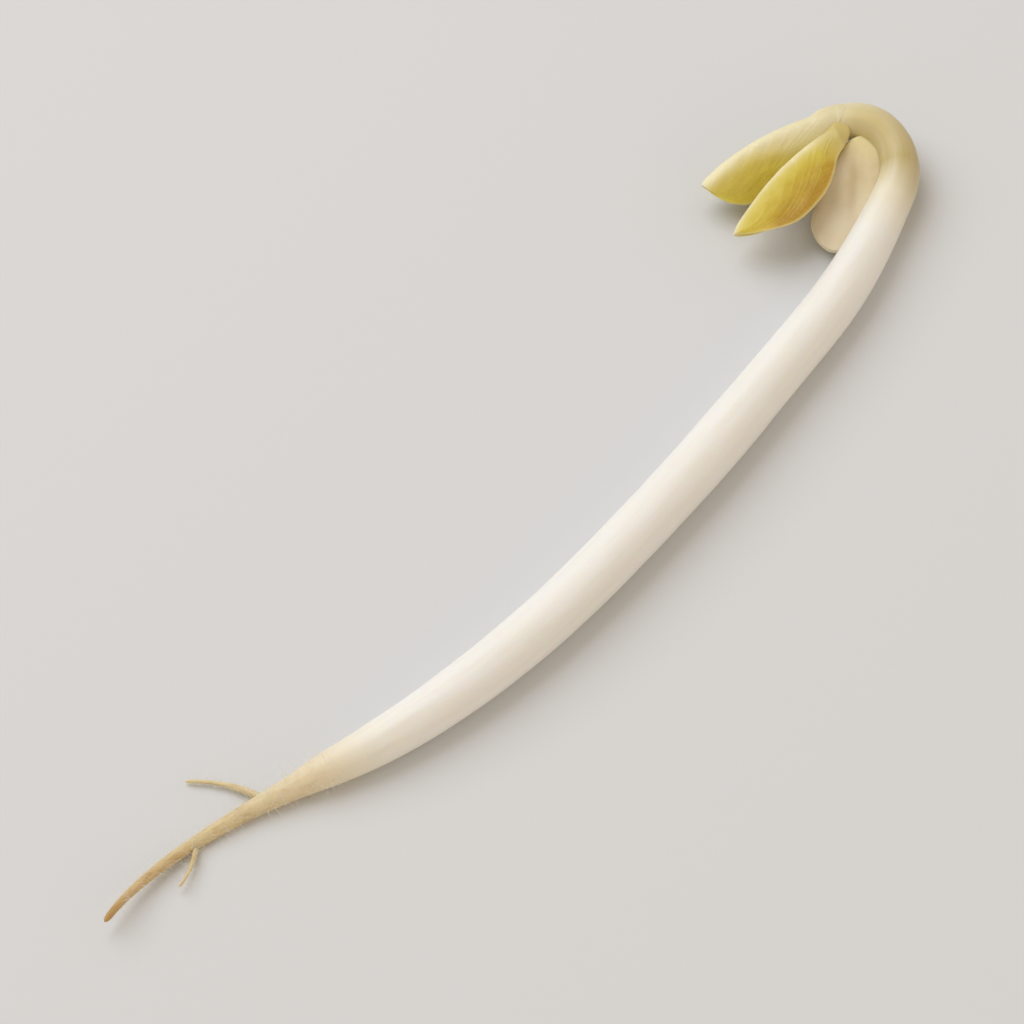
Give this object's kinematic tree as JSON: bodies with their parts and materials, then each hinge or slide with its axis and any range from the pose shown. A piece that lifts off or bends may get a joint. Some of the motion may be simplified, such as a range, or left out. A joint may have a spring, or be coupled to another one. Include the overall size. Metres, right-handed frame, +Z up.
{
  "type": "mung bean sprout",
  "caption": "Mung bean sprout lying down: a long white stem that tapers into a curled root and hooks over at its top, with folded yellow leaves and a seed leaf inside the hook.",
  "frame": {"origin": "centre of the bounding box, on the table that the sprout lies on", "axes": "+X along the sprout from its root towards its hooked head, +Y to the side the head hooks to, +Z up from the table"},
  "size_m": [0.0792, 0.0144, 0.0038],
  "materials": {
    "stem": "smooth, moist and white",
    "root": "pale tan",
    "leaf": "golden yellow",
    "seed_leaf": "cream, slightly wrinkled"
  },
  "bodies": {
    "root": {"stem": "stem", "root": "root", "leaf_front": "leaf", "leaf_back": "leaf", "seed_leaf": "seed_leaf"}
  },
  "joints": []
}
